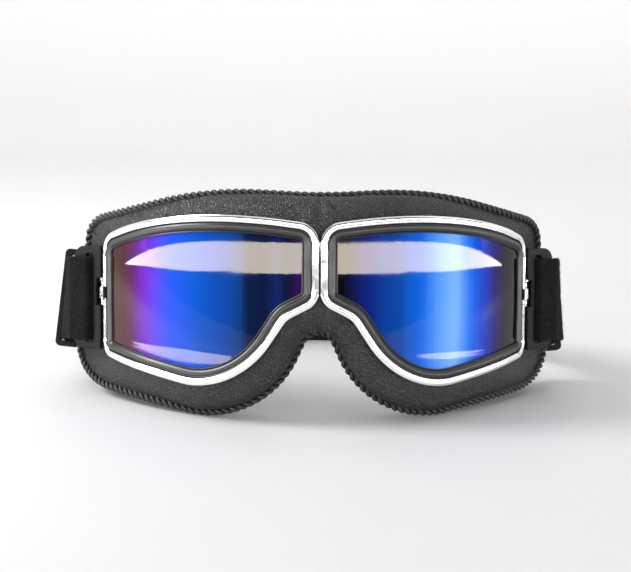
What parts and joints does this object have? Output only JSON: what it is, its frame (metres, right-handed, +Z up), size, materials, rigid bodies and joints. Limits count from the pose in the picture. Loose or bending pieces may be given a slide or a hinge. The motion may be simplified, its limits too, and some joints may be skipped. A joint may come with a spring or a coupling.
{
  "type": "motorcycle goggles",
  "caption": "Padded leather-faced goggles with curved mirror lenses in bright rims, a corded edge, temple brackets and an elastic head strap.",
  "frame": {"origin": "centre of the overall box in plan, at the level the goggles stand on", "axes": "+X across the face towards the right as seen from the front, +Y back towards the wearer's head, +Z up; the lenses face -Y"},
  "size_m": [0.2096, 0.1534, 0.0857],
  "materials": {
    "chrome": "polished, slightly pitted",
    "gasket_rubber": "smooth, semi-gloss black",
    "mirror_lens": "blue to violet mirror coating on polycarbonate",
    "leather": "black, fine pebble grain, soft sheen",
    "lace": "black whip-stitched cord",
    "moulded_plastic": "black, satin moulded",
    "foam": "black open-cell foam",
    "plush": "black brushed plush",
    "loop_tape": "black hook-and-loop pile",
    "elastic": "black ribbed elastic webbing"
  },
  "bodies": {
    "root": {"mask_frame": "moulded_plastic", "leather_cover": "leather", "edge_lacing": "lace", "face_foam": "foam", "face_lining": "plush", "left_rim": "chrome", "left_gasket": "gasket_rubber", "left_lens": "mirror_lens", "left_clamp_barrel": "chrome", "left_clamp_screw": "chrome", "left_temple_bracket": "moulded_plastic", "left_strap_end": "loop_tape", "left_strap_side": "elastic", "right_rim": "chrome", "right_gasket": "gasket_rubber", "right_lens": "mirror_lens", "right_clamp_barrel": "chrome", "right_clamp_screw": "chrome", "right_temple_bracket": "moulded_plastic", "right_strap_end": "loop_tape", "right_strap_side": "elastic"},
    "left_keeper": {"left_strap_keeper": "moulded_plastic"},
    "right_keeper": {"right_strap_keeper": "moulded_plastic"},
    "strap_rear": {"strap_back": "elastic"}
  },
  "joints": [
    {"name": "strap_stretch", "type": "slide", "parent": "root", "child": "strap_rear", "axis": [0, 1, 0], "range_m": [0, 0.06], "stiffness_N_per_m": 120, "deforming": ["left_strap_side", "right_strap_side"]},
    {"name": "left_keeper_slide", "type": "slide", "parent": "root", "child": "left_keeper", "axis": [0, 0.9563, -0.2924], "range_m": [0, 0.014]},
    {"name": "right_keeper_slide", "type": "slide", "parent": "root", "child": "right_keeper", "axis": [0, 0.9563, -0.2924], "range_m": [-0.014, 0.001]}
  ]
}
